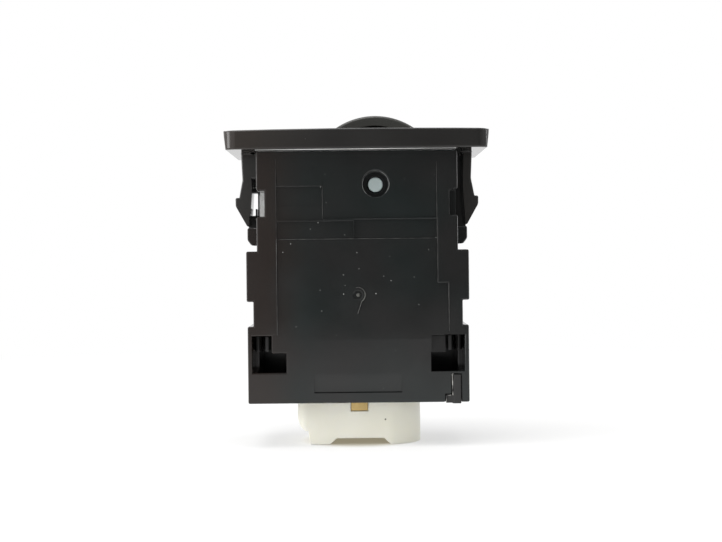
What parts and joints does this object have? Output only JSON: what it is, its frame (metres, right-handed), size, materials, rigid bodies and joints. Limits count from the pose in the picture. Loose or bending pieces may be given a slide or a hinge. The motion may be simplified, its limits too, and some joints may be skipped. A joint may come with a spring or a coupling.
{
  "type": "headlight levelling switch",
  "caption": "Small dashboard thumbwheel switch: knurled wheel in a clip-in bezel with a light window, over a boxy two-part housing that stands on a white plug socket.",
  "frame": {"origin": "centre of the bezel seen from the front, at the height of the plug socket's mouth, where the part rests on the table", "axes": "+Z out of the dashboard towards the driver, +X along the bezel from the light window to the wheel, +Y from the broad side with the axle's end to the hidden broad side"},
  "size_m": [0.038, 0.022, 0.048],
  "materials": {
    "bezel_black": "satin black moulding",
    "housing_black": "satin black moulding with fine dust",
    "wheel_black": "satin black with pale printed numbers",
    "lens_white": "milky, smooth",
    "guide_clear": "clear, polished",
    "axle_steel": "cut end, dull",
    "spring_steel": "rolled sheet",
    "contact_brass": "thin bright sheet",
    "terminal_brass": "stamped sheet, slightly dull",
    "nylon_white": "milky nylon",
    "board_green": "lacquered board",
    "chip_black": "glazed body with bright ends",
    "holder_black": "plain moulding",
    "bulb_glass": "clear",
    "lead_tin": "tinned wire",
    "solder_grey": "dull solder"
  },
  "bodies": {
    "housing": {"bezel": "bezel_black", "symbol_lens": "lens_white", "light_guide": "guide_clear", "axle_pin": "axle_steel", "friction_spring": "spring_steel", "case_front": "housing_black", "case_rear": "housing_black", "circuit_board": "board_green", "resistor_1": "chip_black", "resistor_2": "chip_black", "lamp_holder": "holder_black", "lamp_bulb": "bulb_glass", "lamp_leads": "lead_tin", "connector_shell": "nylon_white", "terminal_1": "terminal_brass", "terminal_2": "terminal_brass", "terminal_3": "terminal_brass", "terminal_4": "terminal_brass", "terminal_5": "terminal_brass", "solder_joints": "solder_grey"},
    "wheel": {"thumbwheel": "wheel_black", "wiper_contact": "contact_brass"}
  },
  "joints": [
    {"name": "wheel_turn", "type": "hinge", "parent": "housing", "child": "wheel", "pos_m": [0.0027, 0, 0.0378], "axis": [0, 1, 0], "range_deg": [0, 84]}
  ]
}
